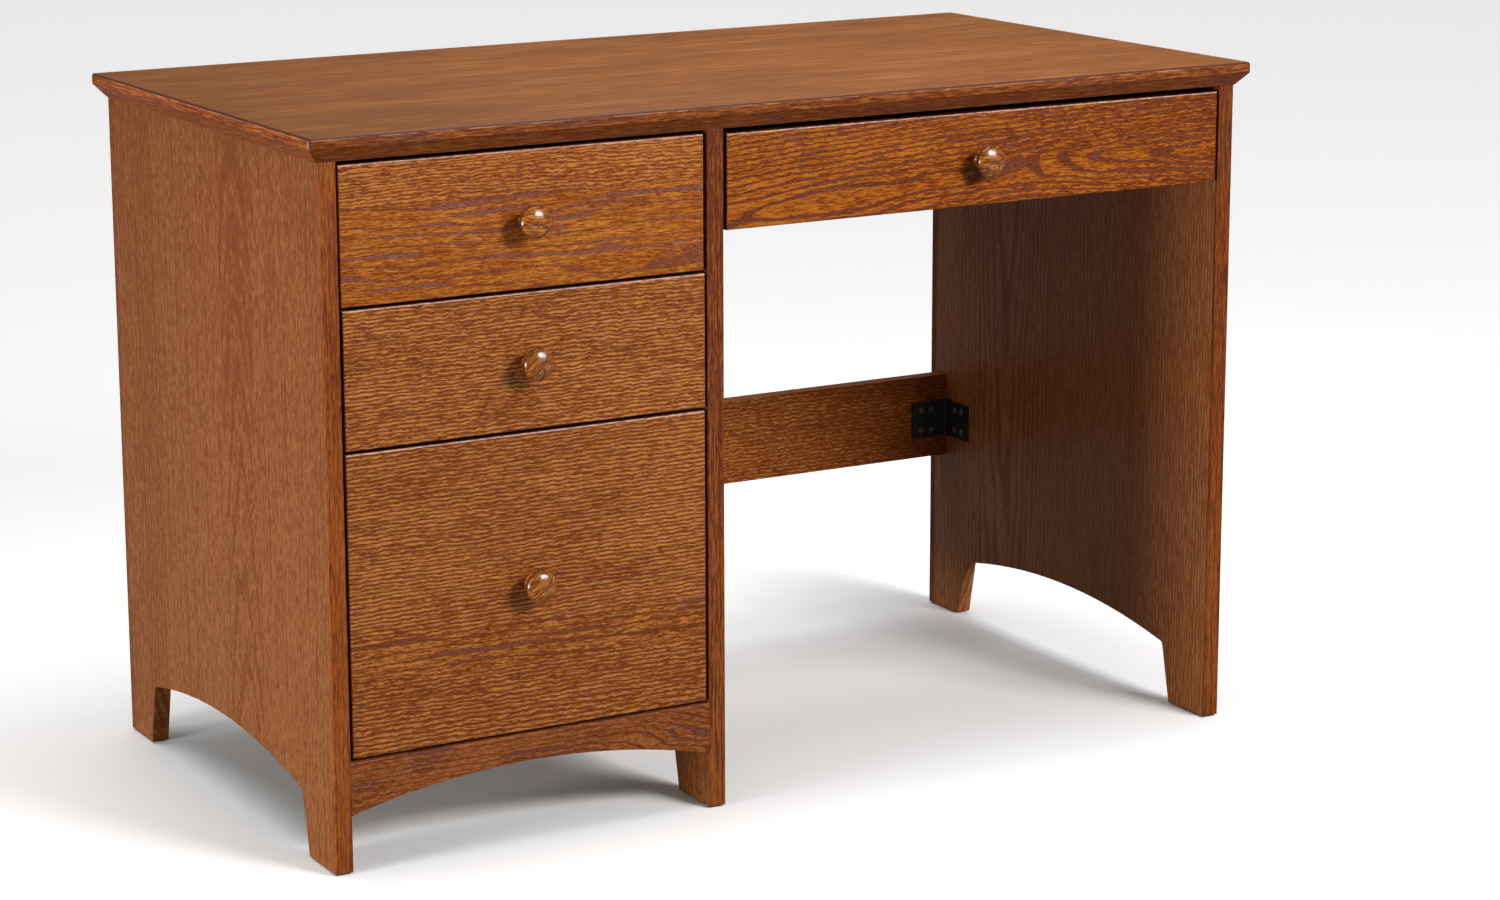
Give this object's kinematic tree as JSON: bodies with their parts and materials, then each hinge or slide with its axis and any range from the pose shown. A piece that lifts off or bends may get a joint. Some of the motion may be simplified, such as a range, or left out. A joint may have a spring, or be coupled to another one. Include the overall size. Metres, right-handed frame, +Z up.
{
  "type": "teacher desk",
  "caption": "Single-pedestal wooden desk with sliding box, file and pencil drawers, arched panel feet, round knobs and an open kneehole under a moulded top.",
  "frame": {"origin": "on the floor, at the middle of the overall box in plan", "axes": "+X to the sitter's right along the desk, +Y to the back, +Z up"},
  "size_m": [1.143, 0.6266, 0.762],
  "materials": {
    "oak_top": "satin lacquer over brown stained oak veneer",
    "oak_edge": "satin lacquer over stained solid oak",
    "oak_panel": "satin lacquer over stained oak veneer",
    "oak_band": "satin lacquer over stained solid oak",
    "oak_rail": "satin lacquer over stained solid oak",
    "oak_front": "satin lacquer over stained oak with a strong grain",
    "oak_knob": "gloss lacquer over turned hardwood",
    "plain_board": "clear sealed light hardwood board",
    "zinc_steel": "zinc plated",
    "black_steel": "satin black",
    "glide_plastic": "dark brown nylon"
  },
  "bodies": {
    "carcass": {"desktop_panel": "oak_top", "top_edge_front": "oak_edge", "top_edge_rear": "oak_edge", "top_edge_left": "oak_edge", "top_edge_right": "oak_edge", "left_side_panel": "oak_panel", "divider_panel": "oak_panel", "right_side_panel": "oak_panel", "left_panel_front_band": "oak_band", "divider_front_band": "oak_band", "right_panel_front_band": "oak_band", "panel_rear_bands": "oak_band", "toe_rail": "oak_rail", "kneehole_rear_apron": "oak_rail", "kneehole_stretcher": "oak_rail", "pedestal_back": "oak_panel", "pedestal_bottom": "plain_board", "pedestal_top_rail": "plain_board", "stretcher_brackets": "black_steel", "carcass_screws": "black_steel", "foot_glides": "glide_plastic", "cabinet_slides": "zinc_steel"},
    "top_drawer": {"top_drawer_front": "oak_front", "top_drawer_inner_front": "plain_board", "top_drawer_left_side": "plain_board", "top_drawer_right_side": "plain_board", "top_drawer_back": "plain_board", "top_drawer_bottom": "plain_board", "top_drawer_knob": "oak_knob", "top_drawer_knob_screw": "zinc_steel", "top_drawer_slides": "zinc_steel"},
    "middle_drawer": {"middle_drawer_front": "oak_front", "middle_drawer_inner_front": "plain_board", "middle_drawer_left_side": "plain_board", "middle_drawer_right_side": "plain_board", "middle_drawer_back": "plain_board", "middle_drawer_bottom": "plain_board", "middle_drawer_knob": "oak_knob", "middle_drawer_knob_screw": "zinc_steel", "middle_drawer_slides": "zinc_steel"},
    "file_drawer": {"file_drawer_front": "oak_front", "file_drawer_inner_front": "plain_board", "file_drawer_left_side": "plain_board", "file_drawer_right_side": "plain_board", "file_drawer_back": "plain_board", "file_drawer_bottom": "plain_board", "file_drawer_knob": "oak_knob", "file_drawer_knob_screw": "zinc_steel", "file_drawer_slides": "zinc_steel", "file_drawer_file_rails": "zinc_steel"},
    "pencil_drawer": {"pencil_drawer_front": "oak_front", "pencil_drawer_inner_front": "plain_board", "pencil_drawer_left_side": "plain_board", "pencil_drawer_right_side": "plain_board", "pencil_drawer_back": "plain_board", "pencil_drawer_bottom": "plain_board", "pencil_drawer_knob": "oak_knob", "pencil_drawer_knob_screw": "zinc_steel", "pencil_drawer_slides": "zinc_steel"},
    "file_middle_members": {"file_drawer_middle_slides": "zinc_steel"}
  },
  "joints": [
    {"name": "top_drawer_slide", "type": "slide", "parent": "carcass", "child": "top_drawer", "axis": [0, -1, 0], "range_m": [0, 0.381]},
    {"name": "middle_drawer_slide", "type": "slide", "parent": "carcass", "child": "middle_drawer", "axis": [0, -1, 0], "range_m": [0, 0.381]},
    {"name": "file_drawer_slide", "type": "slide", "parent": "carcass", "child": "file_drawer", "axis": [0, -1, 0], "range_m": [0, 0.508]},
    {"name": "pencil_drawer_slide", "type": "slide", "parent": "carcass", "child": "pencil_drawer", "axis": [0, -1, 0], "range_m": [0, 0.305]},
    {"name": "file_middle_slide", "type": "slide", "parent": "carcass", "child": "file_middle_members", "axis": [0, -1, 0], "range_m": [0, 0.254]}
  ],
  "couplings": [
    {"joint": "file_middle_slide", "follows": "file_drawer_slide", "ratio": 0.5}
  ]
}
